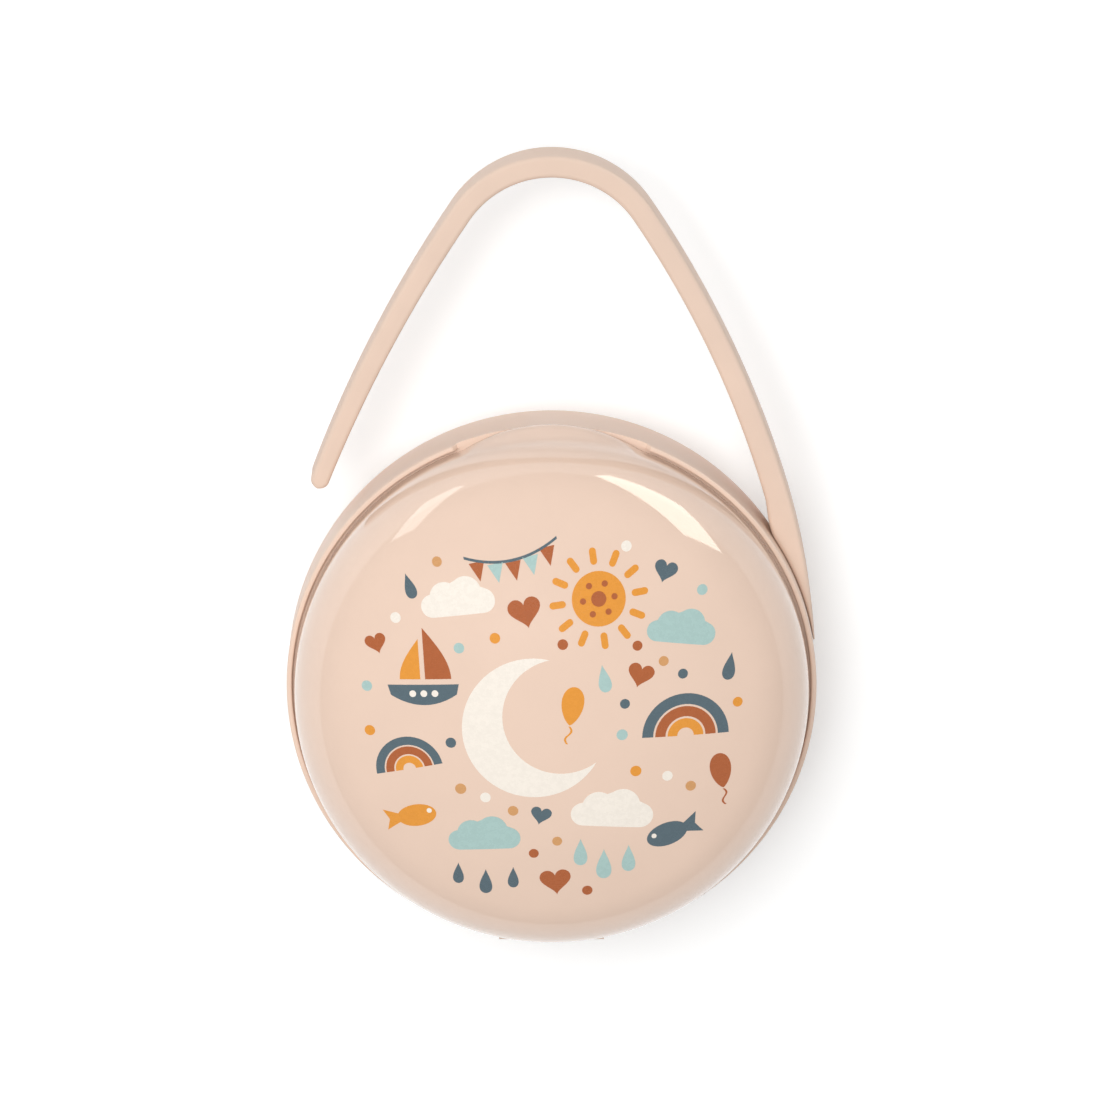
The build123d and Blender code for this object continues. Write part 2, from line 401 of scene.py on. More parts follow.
def heading_gap(angle, toward, half_turn, ramp):
    """1 away from a heading, 0 within an angle on each side of it, with a short ramp between."""
    return eased((abs(shortest(angle - toward)) - half_turn) / ramp)


def wide_arc(radius, straight, shoulder, flat, height):
    """Radius of the wide arc that runs from a bowl's flat into its shoulder arc."""
    reach = radius - shoulder - flat
    rise = straight - height
    return (shoulder**2 - reach**2 - rise**2) / (2 * (rise + shoulder))


def bowl_profile(radius, straight, shoulder, flat, height, steps):
    """Half section of a bowl, from its middle outwards: flat, wide arc, shoulder arc, straight side."""
    wide = wide_arc(radius, straight, shoulder, flat, height)
    lean = degrees(atan2(straight - (height - wide), radius - shoulder - flat))
    points = [(flat * share, height) for share in shares(6)[:-1]] if flat > 0 else []
    points += arc(wide, 90, lean, steps, (flat, height - wide))[:-1]
    points += arc(shoulder, lean, 0, steps, (radius - shoulder, straight))
    points.append((radius, straight / 2))
    return points


def skin(body, loops):
    """Faces between each two loops of corners. A corner that stands twice in a face counts once."""
    for before, after in zip(loops, loops[1:]):
        for spot in range(len(before)):
            follow = (spot + 1) % len(before)
            corners = (before[spot], before[follow], after[follow], after[spot])
            body.faces.new(tuple(dict.fromkeys(corners)))


def turned_object(name, profile, shift, finish):
    """Closed turned body. Its profile starts and ends on the Z axis. Shift moves a point by its angle."""
    turns = 360
    body = bmesh.new()
    rings = []
    for order, (radius, height) in enumerate(profile):
        if order in (0, len(profile) - 1):
            rings.append([body.verts.new((0, 0, height))] * turns)
            continue
        ring = []
        for turn in range(turns):
            angle = 2 * pi * turn / turns
            far, level = shift(radius, height, angle)
            ring.append(body.verts.new((far * cos(angle), far * sin(angle), level)))
        rings.append(ring)
    skin(body, rings)
    bmesh.ops.recalc_face_normals(body, faces=body.faces)
    return body_object(name, body, finish)


def tube(name, rings, finish=None):
    """Closed object over rings of places, with flat ends."""
    body = bmesh.new()
    loops = [[body.verts.new(place) for place in ring] for ring in rings]
    skin(body, loops)
    body.faces.new(loops[0])
    body.faces.new(list(reversed(loops[-1])))
    bmesh.ops.recalc_face_normals(body, faces=body.faces)
    return body_object(name, body, finish)


def bar(name, start, end, radius, sides=64):
    """Round bar between two points, as a closed object."""
    start, end = Vector(start), Vector(end)
    size = {"radius1": radius, "radius2": radius, "depth": (end - start).length}
    turn = (end - start).to_track_quat("Z", "Y").to_matrix().to_4x4()
    place = Matrix.Translation((start + end) / 2) @ turn
    body = bmesh.new()
    bmesh.ops.create_cone(body, cap_ends=True, segments=sides, matrix=place, **size)
    return body_object(name, body)


def block(name, low, high):
    """Closed box between two corners."""
    low, high = Vector(low), Vector(high)
    place = Matrix.Translation((low + high) / 2) @ Matrix.Diagonal((*(high - low), 1.0))
    body = bmesh.new()
    bmesh.ops.create_cube(body, size=1.0, matrix=place)
    return body_object(name, body)


def curved_rod(name, reach, level, radius, half_turn):
    """Round rod bent about the Z axis, with its middle at +Y, as a closed object."""
    rings = []
    for share in shares(24):
        turn = pi / 2 + half_turn * (2 * share - 1)
        section = circle(radius, 20, (reach, level))
        rings.append([(out * cos(turn), out * sin(turn), up) for out, up in section])
    return tube(name, rings)


def stud_bar(name, turn, radius, start, end):
    """Bar square to the shell's side at the strap's level, between two distances from the Z axis."""
    near, far = ((*on_circle(reach, degrees(turn)), STRAP_LEVEL) for reach in (start, end))
    return bar(name, near, far, radius, 40)


def hinge_bar(name, start, end, radius):
    """Bar on the hinge's axis between two x places."""
    return bar(name, (start, HINGE_AT.y, HINGE_AT.z), (end, HINGE_AT.y, HINGE_AT.z), radius)


def rear_profile(sizes):
    """Section of the rear shell, from the middle of the foot outside to the middle of the floor inside."""
    bore, lip_bore = sizes.radius - sizes.wall, sizes.radius - sizes.lip_wall
    lip_top = -sizes.lip_height
    corner, bevel = 0.3 * MM, 0.15 * MM
    below_seam = 0.4 * MM
    lip_foot_in, lip_foot_up = 0.1 * MM, 0.12 * MM
    points = bowl_profile(sizes.radius, sizes.straight, sizes.shoulder, sizes.foot, sizes.depth, 22)
    points += [(sizes.radius, below_seam), (sizes.radius, lip_top + corner)]
    points += arc(corner, 0, -90, 3, (sizes.radius - corner, lip_top + corner))[1:]
    points += arc(corner, -90, -180, 3, (lip_bore + corner, lip_top + corner))
    points += [(lip_bore, -lip_foot_up), (lip_bore - lip_foot_in, 0.0), (bore + bevel, 0.0), (bore, bevel)]
    inner_shoulder, inner_depth = sizes.shoulder - sizes.wall, sizes.depth - sizes.wall
    points += reversed(bowl_profile(bore, sizes.straight, inner_shoulder, sizes.foot, inner_depth, 18))
    return [(radius, sizes.depth - down) for radius, down in points]


class CASE_OT_rear_shell(bpy.types.Operator):
    """Rear shell: turned dish with its rim lip, hinge knuckles, snap groove and stud holes"""

    bl_idname = "case.rear_shell"
    bl_label = "Rear shell"

    def execute(self, context):
        sizes, hinge = context.scene.case_shell, context.scene.case_hinge
        lid, strap = context.scene.case_lid, context.scene.case_strap
        lip_bore = sizes.radius - sizes.lip_wall
        tab_turn = asin(sizes.tab_gap / lip_bore)
        hinge_turn = asin(sizes.hinge_gap / lip_bore)
        ramp = radians(1.2)
        flat_lip = 0.02

        def shift(radius, height, angle):
            if height <= sizes.depth:
                return radius, height
            keep = heading_gap(angle, pi / 2, tab_turn, ramp)
            keep *= heading_gap(angle, -pi / 2, hinge_turn, ramp)
            return radius, sizes.depth + (height - sizes.depth) * (flat_lip + (1 - flat_lip) * keep)

        base = context.scene.case_colours.shell
        finish = satin_plastic("satin_blush", base, (0.42, 0.52), 0.22 * MM, 0.012 * MM)
        shell = turned_object("rear_shell_moulding", rear_profile(sizes), shift, finish)
        start, far = hinge.lid_half + hinge.gap, 2 * sizes.radius
        bars = [hinge_bar("knuckle", side * start, side * hinge.reach, hinge.knuckle) for side in (-1, 1)]
        combined(shell, bars, "UNION")
        ledge_low = (-start, -far, HINGE_AT.z - hinge.ledge_drop)
        ledge_high = (start, HINGE_AT.y - hinge.ledge_inset, far)
        wide = hinge.reach + hinge.gap
        bead_level = lid.tongue_foot + lid.bead_lift
        spare_turn = radians(0.4)
        cuts = [
            hinge_bar("notch", -start, start, hinge.knuckle + hinge.relief),
            block("ledge", ledge_low, ledge_high),
            hinge_bar("pin_hole", -wide, wide, hinge.bore),
            curved_rod(
                "groove", lid.tongue_radius, bead_level, sizes.groove, lid.bead_half_turn + spare_turn
            ),
        ]
        reach = (sizes.radius - 2 * sizes.wall, sizes.radius + sizes.wall)
        for turn in (strap.low_stud, strap.high_stud):
            cuts.append(stud_bar("stud_hole", turn, sizes.stud_hole, *reach))
        combined(shell, cuts, "DIFFERENCE")
        smooth(shell.data, 30)
        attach(shell, "case")
        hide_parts("rear_shell")
        return {"FINISHED"}


def lid_profile(sizes, seam):
    """Section of the lid, from the dome's top outside to its top inside, with the tongue's ring."""
    height = sizes.crown - seam
    bore, inner = sizes.radius - sizes.wall, sizes.tongue_radius - sizes.tongue_wall
    edge, foot = sizes.edge - seam, sizes.tongue_foot - seam
    corner = 0.2 * MM
    tongue_top, bore_start = 3.1 * MM, 3.3 * MM
    points = bowl_profile(sizes.radius, sizes.straight, sizes.shoulder, 0.0, height, 30)[:-1]
    points += [(sizes.radius, sizes.straight * share) for share in (0.8, 0.6, 0.45, 0.3, 0.2)]
    points += arc(corner, 0, -90, 3, (sizes.radius - corner, edge + corner))
    points += [(sizes.tongue_radius, edge), (sizes.tongue_radius, foot + corner)]
    points += arc(corner, 0, -90, 2, (sizes.tongue_radius - corner, foot + corner))[1:]
    points += [(inner + corner, foot), (inner, foot + corner), (inner, tongue_top), (bore, bore_start)]
    inner_shoulder = sizes.shoulder - sizes.wall
    inside = bowl_profile(bore, sizes.straight, inner_shoulder, 0.0, height - sizes.wall, 24)
    points += reversed(inside[:-1])
    return [(radius, seam + up) for radius, up in points]


class CASE_OT_front_lid(bpy.types.Operator):
    """Front lid: turned dome with its thumb tab, tongue, snap bead and middle hinge knuckle"""

    bl_idname = "case.front_lid"
    bl_label = "Front lid"

    def execute(self, context):
        sizes, hinge = context.scene.case_lid, context.scene.case_hinge
        shell = context.scene.case_shell
        chord = sqrt(sizes.radius**2 - sizes.tab_half_width**2)
        sagitta = sizes.tab_reach - chord
        curve = (sizes.tab_half_width**2 + sagitta**2) / (2 * sagitta)
        centre = sizes.tab_reach - curve
        widest = radians(30)
        rounding, softness, run_out = 0.5 * MM, 0.4, 1.6
        outer_side = sizes.tongue_radius + 0.1 * MM

        def shift(radius, height, angle):
            away = abs(shortest(angle - pi / 2))
            if radius < outer_side or away > widest:
                return radius, height
            across = curve**2 - (centre * sin(away)) ** 2
            proud = max(0.0, centre * cos(away) + sqrt(max(0.0, across)) - sizes.radius)
            rise = height - sizes.edge
            fall = 1 - eased((rise - rounding) / sizes.tab_blend)
            lean = 1 - min(1.0, rise / rounding)
            inset = rounding * (1 - sqrt(max(0.0, 1 - lean**2))) * softness
            return radius + (proud - inset * min(1.0, proud / rounding)) * fall**run_out, height

        finish = polished_plastic(context.scene.case_colours.lid)
        lid = turned_object("front_lid_moulding", lid_profile(sizes, shell.depth), shift, finish)
        gap_low = (-shell.hinge_gap, -2 * sizes.radius, sizes.tongue_foot - shell.wall)
        cuts = [block("tongue_gap", gap_low, (shell.hinge_gap, 0, sizes.edge - 0.02 * MM))]
        wide = hinge.reach + hinge.gap
        relief = hinge.knuckle + hinge.relief
        cuts += [hinge_bar("relief", side * hinge.lid_half, side * wide, relief) for side in (-1, 1)]
        combined(lid, cuts, "DIFFERENCE")
        bead_level = sizes.tongue_foot + sizes.bead_lift
        adds = [
            hinge_bar("knuckle", -hinge.lid_half, hinge.lid_half, hinge.knuckle),
            curved_rod("bead", sizes.tongue_radius, bead_level, sizes.bead, sizes.bead_half_turn),
        ]
        combined(lid, adds, "UNION")
        combined(lid, [hinge_bar("pin_hole", -wide, wide, hinge.bore)], "DIFFERENCE")
        smooth(lid.data, 35)
        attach(lid, "lid")
        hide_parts("front_lid")
        return {"FINISHED"}


def leg_points(start, heading, end):
    """Points of the arc that leaves a start with a heading, in degrees, and reaches an end."""
    start, end = Vector(start), Vector(end)
    chord = end - start
    turn = shortest(atan2(chord.y, chord.x) - radians(heading))
    points = []
    for share in shares(46):
        if abs(turn) < 1e-6:
            points.append(tuple(start + chord * share))
            continue
        reach = chord.length * sin(turn * share) / sin(turn)
        angle = radians(heading) + turn * share
        points.append((start.x + reach * cos(angle), start.y + reach * sin(angle)))
    return points


def root_rows(sizes, shell_radius, sweep_centre, flex_turn):
    """Inner and outer edge points of the strap's root, from its thin end to the bending point."""
    merge_from, merge_turn, press, thinning = 0.8, 12, 0.05 * MM, 0.9
    fill_turn, thin_turn = degrees(sizes.fill_turn), degrees(sizes.thin_turn)
    offset = sizes.sweep - shell_radius
    outer_start = thin_turn - degrees(asin(offset * sin(sizes.thin_turn) / sizes.sweep))
    rows = []
    for share in shares(26)[:-1]:
        outer = on_circle(sizes.sweep, outer_start + (flex_turn - outer_start) * share, sweep_centre)
        inner = on_circle(shell_radius + press, thin_turn + (fill_turn - thin_turn) * share**thinning)
        if share > merge_from:
            join = eased((share - merge_from) / (1 - merge_from))
            heading = flex_turn - (1 - share) * merge_turn
            leg_inner = on_circle(sizes.sweep - sizes.root_thickness, heading, sweep_centre)
            inner = tuple(a + (b - a) * join for a, b in zip(inner, leg_inner))
        rows.append((inner, outer))
    return rows


def strap_stations(sizes, shell_radius):
    """Pairs of inner and outer edge points, from the root's thin end to the free tip."""
    sweep_centre = (shell_radius - sizes.sweep, 0.0)
    crown_centre = (0.0, ARM_HIGH.y - sizes.crown - sizes.crown_thickness / 2)
    half_arch = degrees(sizes.half_arch)
    flex_turn = degrees(asin(FLEX_AT.y / (sizes.sweep - sizes.root_thickness / 2)))
    tip = on_circle(sizes.tip_radius, degrees(sizes.tip_turn))
    arch_end = on_circle(sizes.crown, 90 + half_arch, crown_centre)
    left_heading = degrees(atan2(tip[1] - arch_end[1], tip[0] - arch_end[0]))
    tip_heading = 2 * left_heading - (half_arch - 180)
    edges = []
    for side in (-1, 1):
        radius = sizes.crown + side * sizes.crown_thickness / 2
        flex_end = on_circle(sizes.sweep - (1 - side) * sizes.root_thickness / 2, flex_turn, sweep_centre)
        arch = arc(radius, 90 - half_arch, 90 + half_arch, 40, crown_centre)
        right = leg_points(arch[0], -half_arch, flex_end)
        tip_end = on_circle(sizes.tip_thickness / 2, tip_heading - 90 * side, tip)
        left = leg_points(arch[-1], half_arch - 180, tip_end)
        edges.append(list(reversed(right))[:-1] + arch + left[1:])
    rows = root_rows(sizes, shell_radius, sweep_centre, flex_turn) + list(zip(*edges))
    # The last row stops just short of the tip's end, so that it keeps a width.
    last_turn = 90 / 1.05
    for half, ahead in arc(sizes.tip_thickness / 2, 0, last_turn, 8)[1:]:
        middle = on_circle(ahead, tip_heading, tip)
        rows.append(tuple(on_circle(half, tip_heading - 90 * side, middle) for side in (-1, 1)))
    return rows


def strap_section(inner, outer, depth, rounding):
    """Rounded oblong between an inner and an outer point, as a ring of places."""
    inner, outer = Vector((*inner, STRAP_LEVEL)), Vector((*outer, STRAP_LEVEL))
    half = (outer - inner).length / 2
    unit = (outer - inner).normalized()
    middle = (inner + outer) / 2
    round_across = min(rounding, half * 0.98)
    ring = []
    for corner, (x_side, z_side) in enumerate(((1, 1), (-1, 1), (-1, -1), (1, -1))):
        for x, z in arc(1.0, 90 * corner, 90 * corner + 90, 6):
            across = x_side * (half - round_across) + round_across * x
            up = z_side * (depth / 2 - rounding) + rounding * z
            ring.append(middle + unit * across + UP * up)
    return ring


class CASE_OT_strap(bpy.types.Operator):
    """Strap: one soft moulding from the studs on the shell's side over the arch to the free tip"""

    bl_idname = "case.strap"
    bl_label = "Hooked strap"

    def execute(self, context):
        sizes, colours = context.scene.case_strap, context.scene.case_colours
        shell = context.scene.case_shell
        rows = strap_stations(sizes, shell.radius)
        tip_shrink, tip_rows = 0.35 * MM, 8
        rings = []
        for order, (inner, outer) in enumerate(rows):
            left = len(rows) - 1 - order
            shrink = tip_shrink * max(0.0, 1 - left / tip_rows) ** 2
            rings.append(strap_section(inner, outer, sizes.depth - 2 * shrink, sizes.rounding))
        finish = satin_plastic("soft_blush", colours.strap, (0.55, 0.68), 0.3 * MM, 0.018 * MM)
        strap = tube("hook_strap", rings, finish)
        bore = shell.radius - shell.wall
        head_gap, head_end, bite = 0.15 * MM, 1.35 * MM, 0.5 * MM
        studs = []
        for turn in (sizes.low_stud, sizes.high_stud):
            studs.append(stud_bar("stud", turn, sizes.stud, bore - head_end, shell.radius + bite))
            studs.append(stud_bar("stud_head", turn, sizes.stud_head, bore - head_end, bore - head_gap))
        combined(strap, studs, "UNION")
        smooth(strap.data, 40)
        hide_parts("strap_root", "strap_arm")
        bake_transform(strap)
        return {"FINISHED"}


class CASE_OT_hinge_pin(bpy.types.Operator):
    """Hinge pin: gives the steel pin its drawn finish"""

    bl_idname = "case.hinge_pin"
    bl_label = "Hinge pin"

    def execute(self, context):
        pin = frame["nodes"]["hinge_pin"]
        finish = drawn_steel(context.scene.case_colours.steel)
        for spot in pin.material_slots:
            spot.material = finish
        return {"FINISHED"}


def heart(width):
    """Outline of a heart."""
    points = []
    for share in shares(44)[:-1]:
        turn = 2 * pi * share
        x = 16 * sin(turn) ** 3
        y = 13 * cos(turn) - 5 * cos(2 * turn) - 2 * cos(3 * turn) - cos(4 * turn)
        points.append((x * width / 32, (y + 2.5) * width / 32))
    return list(reversed(points))


def drop(width, sharpness=1.6):
    """Outline of a rain drop, with its point up."""
    points = []
    for up, out in circle(1.0, 36):
        pinch = ((1 - up) / 2) ** (sharpness / 2)
        points.append((-width / 2 * out * pinch, width * 0.75 * up))
    return points


def crescent(radius):
    """Outline of a moon's crescent, open to the right."""
    bite, offset = radius * 0.82, radius * 0.42
    meet_x = (radius**2 - bite**2 + offset**2) / (2 * offset)
    outer_turn = degrees(acos(meet_x / radius))
    inner_turn = degrees(acos((meet_x - offset) / bite))
    outer = arc(radius, outer_turn, 360 - outer_turn, 40)
    return outer + arc(bite, -inner_turn, inner_turn - 360, 36, (offset, 0.0))[1:-1]


def cloud(width):
    """Outline of a cloud: a flat base and four bumps."""
    unit = width / 10
    points = []
    for radius, across, up, start, end in (
        (1.6, 3.4, -0.4, -90, 62),
        (2.1, 1.2, 0.9, 15, 128),
        (2.0, -1.7, 0.5, 62, 165),
        (1.5, -3.5, -0.5, 112, 270),
    ):
        points += arc(radius * unit, start, end, 12, (across * unit, up * unit))
    return points


def arch_band(radius, width):
    """Outline of a half ring standing on its ends."""
    return arc(radius, 0, 180, 24) + arc(radius - width, 180, 0, 24)


def oblong(width, height, lift=0.0):
    """Outline of a bar with round ends, standing up."""
    half = width / 2
    return arc(half, 0, 180, 8, (0.0, lift + height - half)) + arc(half, 180, 360, 8, (0.0, lift + half))


def sail(width, height):
    """Outline of a sail with a bellied edge."""
    belly = [(width * sin(pi / 2 * share), height * (1 - share)) for share in shares(10)]
    return [(0.0, 0.0)] + list(reversed(belly))


def hull(width, height):
    """Outline of a boat's hull."""
    keel = [
        (width * (share - 0.5), -height * sin(pi * (0.12 + 0.76 * share)) ** 0.7)
        for share in shares(12)
    ]
    return keel + [(width / 2 * 1.08, 0.0), (-width / 2 * 1.08, 0.0)]


def fish(width):
    """Outline of a fish: an oval body and a forked tail."""
    body = [(0.34 * x, 0.2 * y) for x, y in arc(width, -156, 156, 26)]
    tail = [(-width * 0.56, width * 0.19), (-width * 0.48, 0.0), (-width * 0.56, -width * 0.19)]
    return body + tail


def moved(outline, across=0.0, along=0.0, turn=0.0):
    """An outline, turned by degrees and moved."""
    cosine, sine = cos(radians(turn)), sin(radians(turn))
    return [(across + x * cosine - y * sine, along + x * sine + y * cosine) for x, y in outline]


def motif_object(outlines, thickness, sunk, cell):
    """Closed flat plates with outlines in millimetres, cut into small cells that can follow the dome."""
    body = bmesh.new()
    for outline in outlines:
        face = body.faces.new([body.verts.new((x * MM, y * MM, -sunk)) for x, y in outline])
        face.normal_update()
        if face.normal.z < 0:
            face.normal_flip()
    reach = max(max(abs(x), abs(y)) for outline in outlines for x, y in outline)
    count = int(reach * MM / cell) + 1
    for direction in (Vector((1, 0, 0)), Vector((0, 1, 0))):
        for line in range(-count, count + 1):
            whole = body.verts[:] + body.edges[:] + body.faces[:]
            place = direction * line * cell
            bmesh.ops.bisect_plane(body, geom=whole, dist=cell * 0.001, plane_co=place, plane_no=direction)
    bmesh.ops.triangulate(body, faces=body.faces)
    raised = bmesh.ops.extrude_face_region(body, geom=body.faces[:], use_keep_orig=True)
    top = [item for item in raised["geom"] if isinstance(item, bmesh.types.BMVert)]
    bmesh.ops.translate(body, verts=top, vec=(0, 0, sunk + thickness))
    bmesh.ops.recalc_face_normals(body, faces=body.faces)
    return body_object("motif", body)


def drape_tree():
    """Geometry tree: puts a motif on every point, turned and scaled as it says, and lays it on the dome."""
    tree = bpy.data.node_groups.new("lay_motifs_on_dome", "GeometryNodeTree")
    for label, way, kind in (
        ("Geometry", "INPUT", "Geometry"),
        ("Motif", "INPUT", "Object"),
        ("Crown radius", "INPUT", "Float"),
        ("Crown centre", "INPUT", "Float"),
        ("Ink", "INPUT", "Material"),
        ("Geometry", "OUTPUT", "Geometry"),
    ):
        tree.interface.new_socket(name=label, in_out=way, socket_type="NodeSocket" + kind)
    start, end = tree.nodes.new("NodeGroupInput").outputs, tree.nodes.new("NodeGroupOutput").inputs
    turn = wired(tree, "GeometryNodeInputNamedAttribute", {"Name": "turn"}, "Attribute")
    scale = wired(tree, "GeometryNodeInputNamedAttribute", {"Name": "scale"}, "Attribute")
    motif = wired(tree, "GeometryNodeObjectInfo", {"Object": start["Motif"]}, "Geometry")
    axis = wired(tree, "ShaderNodeCombineXYZ", {"Z": turn})
    size = wired(tree, "ShaderNodeCombineXYZ", {"X": scale, "Y": scale, "Z": 1.0})
    spots = {"Points": start["Geometry"], "Instance": motif, "Rotation": axis, "Scale": size}
    placed = wired(tree, "GeometryNodeInstanceOnPoints", spots)
    real = wired(tree, "GeometryNodeRealizeInstances", {"Geometry": placed})
    where = wired(tree, "GeometryNodeInputPosition", {})
    parts = wired(tree, "ShaderNodeSeparateXYZ", {"Vector": where}).node.outputs
    across = maths(tree, "MULTIPLY", parts["X"], parts["X"])
    along = maths(tree, "MULTIPLY", parts["Y"], parts["Y"])
    square = maths(tree, "MULTIPLY", start["Crown radius"], start["Crown radius"])
    left = maths(tree, "SUBTRACT", square, maths(tree, "ADD", across, along))
    height = maths(tree, "ADD", maths(tree, "SQRT", left), start["Crown centre"])
    lift = wired(tree, "ShaderNodeCombineXYZ", {"Z": height})
    laid = wired(tree, "GeometryNodeSetPosition", {"Geometry": real, "Offset": lift})
    inked = wired(tree, "GeometryNodeSetMaterial", {"Geometry": laid, "Material": start["Ink"]})
    tree.links.new(inked, end["Geometry"])
    return tree


def laid_motif(tree, motif, places, crown_radius, crown_centre, ink):
    """Mesh of a motif at its places on the dome: x and y in millimetres, turn in degrees and scale."""
    points = bpy.data.meshes.new("places")
    points.from_pydata([(x * MM, y * MM, 0.0) for x, y, _, _ in places], [], [])
    for label, values in (
        ("turn", [radians(turn) for _, _, turn, _ in places]),
        ("scale", [scale for _, _, _, scale in places]),
    ):
        points.attributes.new(label, "FLOAT", "POINT").data.foreach_set("value", values)
    holder = new_object("places", points)
    step = holder.modifiers.new("lay", "NODES")
    step.node_group = tree
    values = {"Motif": motif, "Crown radius": crown_radius, "Crown centre": crown_centre, "Ink": ink}
    for item in tree.interface.items_tree:
        if item.item_type == "SOCKET" and item.name in values:
            step[item.identifier] = values[item.name]
    mesh = baked(holder)
    discard(holder)
    discard(motif)
    return mesh


def balloon(width):
    """Outlines of a balloon and its wavy string."""
    waves = [(0.1 * width * sin(2 * pi * share), -width * (0.8 + 0.7 * share)) for share in shares(10)]
    string = [(x - 0.04 * width, y) for x, y in waves] + [(x + 0.04 * width, y) for x, y in reversed(waves)]
    return [moved(drop(width, 0.5), turn=180), string]


def pennant(width, hang, across, sag):
    """Outline of a small flag that hangs from a sagging line."""
    level = sag * across**2
    return [(across - width / 2, level), (across, level - hang), (across + width / 2, level)]


def sagging_line(half, thickness, sag):
    """Outline of the line that the flags hang from."""
    places = [half * (2 * share - 1) for share in shares(16)]
    low = [(x, sag * x**2) for x in places]
    return low + [(x, y + thickness) for x, y in reversed(low)]


def print_design():
    """The generic print, in millimetres: each motif's ink, layer, outlines and places on the dome."""
    sag = 0.035
    flags = [pennant(2.3, 2.7, across, sag) for across in (-5.2, -2.6, 0.0, 2.6, 5.2)]
    bunting = [(-5.6, 23.2, 13, 1.0)]
    dot = [circle(0.9, 24)]
    sun_rays = [moved(oblong(1.0, 2.4, 4.8), turn=30 * ray) for ray in range(12)]
    sun_face = [circle(1.1, 24)]
    sun_face += [circle(0.45, 16, on_circle(2.3, 60 * spot)) for spot in range(6)]
    sun = [(6.8, 18.0, 8, 1.0)]
    rainbow = [(19.4, -2.4, 0, 1.0), (-20.6, -7.6, 14, 0.78)]
    window = [circle(0.55, 18, (across, 0.0)) for across in (-1.8, 0.0, 1.8)]
    boat = [(-18.6, 5.2, 4, 1.0)]
    small_sail = [(-x, y) for x, y in reversed(moved(sail(3.0, 5.8), 0.35, 0.8))]
    design = [
        ("cream", 1, [crescent(10.4)], [(-2.6, -0.8, 24, 1.0)]),
        ("cream", 1, [cloud(12)], [(8.8, -13.6, -4, 1.0), (-13.6, 17.6, 8, 0.9)]),
        ("aqua", 1, [cloud(10)], [(18.8, 13.2, -8, 1.0), (-9.8, -17.6, 4, 1.05)]),
        ("mustard", 1, [circle(3.9, 48)], sun),
        ("mustard", 1, sun_rays, sun),
        ("rust", 2, sun_face, sun),
        ("slate", 1, [arch_band(6.3, 1.6)], rainbow),
        ("rust", 1, [arch_band(4.4, 1.5)], rainbow),
        ("mustard", 1, [arch_band(2.6, 1.4)], rainbow),
        ("slate", 1, [hull(9.6, 3.0)], boat),
        ("cream", 2, window, [(-18.5, 3.9, 4, 0.9)]),
        ("rust", 1, [moved(sail(3.8, 7.4), 0.35, 0.8)], boat),
        ("mustard", 1, [small_sail], boat),
        ("slate", 1, [sagging_line(6.9, 0.4, sag)], bunting),
        ("rust", 1, flags[0::2], bunting),
        ("aqua", 1, flags[1::2], bunting),
        ("mustard", 1, balloon(3.8), [(3.0, 2.6, -8, 1.0)]),
        ("rust", 1, balloon(3.8), [(24.6, -8.2, 8, 0.95)]),
        ("rust", 1, [heart(4.8)],
         [(-3.8, 16.0, 14, 1.0), (12.8, 6.8, -16, 0.8), (0.6, -25.0, 6, 0.95), (-25.4, 10.6, 20, 0.65)]),
        ("slate", 1, [heart(3.8)], [(16.4, 21.4, -18, 0.9), (-1.6, -14.2, -12, 0.8)]),
        ("aqua", 1, [drop(3.4)],
         [(4.2, -20.0, 0, 0.85), (7.6, -22.0, 0, 0.95), (11.2, -21.2, 0, 0.85), (7.6, 6.6, 10, 0.8)]),
        ("slate", 1, [drop(2.7)],
         [(-13.6, -23.8, 0, 0.85), (-9.6, -25.0, 0, 1.0), (-5.6, -24.2, 0, 0.85), (-20.6, 19.2, 20, 0.9),
          (25.8, 7.4, -10, 1.0)]),
        ("slate", 1, [fish(10)], [(16.8, -17.6, 200, 0.9)]),
        ("mustard", 1, [fish(10)], [(-19.6, -14.8, 14, 0.85)]),
        ("cream", 2, [circle(0.38, 14)], [(14.9, -17.8, 0, 1.0), (-17.8, -13.9, 0, 1.0)]),
    ]
    dots = {
        "mustard": [(12.2, -7.4, 0.9), (27.0, 2.0, 0.8), (-26.4, -2.2, 0.85), (-8.2, 12.4, 0.85)],
        "aqua": [(10.2, -1.8, 0.9), (-13.4, 10.8, 0.85), (21.8, 18.6, 0.85), (-26.8, 4.4, 0.85)],
        "rust": [(1.6, 11.6, 0.85), (12.4, 11.2, 0.8), (5.2, -26.4, 0.85), (-2.6, -20.2, 0.8)],
        "slate": [(10.6, 2.8, 0.8), (-14.6, -3.2, 0.85), (19.0, 6.8, 0.8)],
        "tan": [(16.2, 8.8, 0.8), (-5.6, -13.4, 0.85), (0.8, -18.2, 0.8), (-16.6, 22.8, 0.8),
                (-13.2, -10.2, 0.9), (20.2, -10.2, 0.85)],
        "cream": [(-9.6, -11.4, 0.85), (-22.6, 14.6, 0.85), (16.8, -8.4, 0.85), (10.8, 25.2, 0.85)],
    }
    for ink, spots in dots.items():
        design.append((ink, 1, dot, [(x, y, 0, scale) for x, y, scale in spots]))
    return design


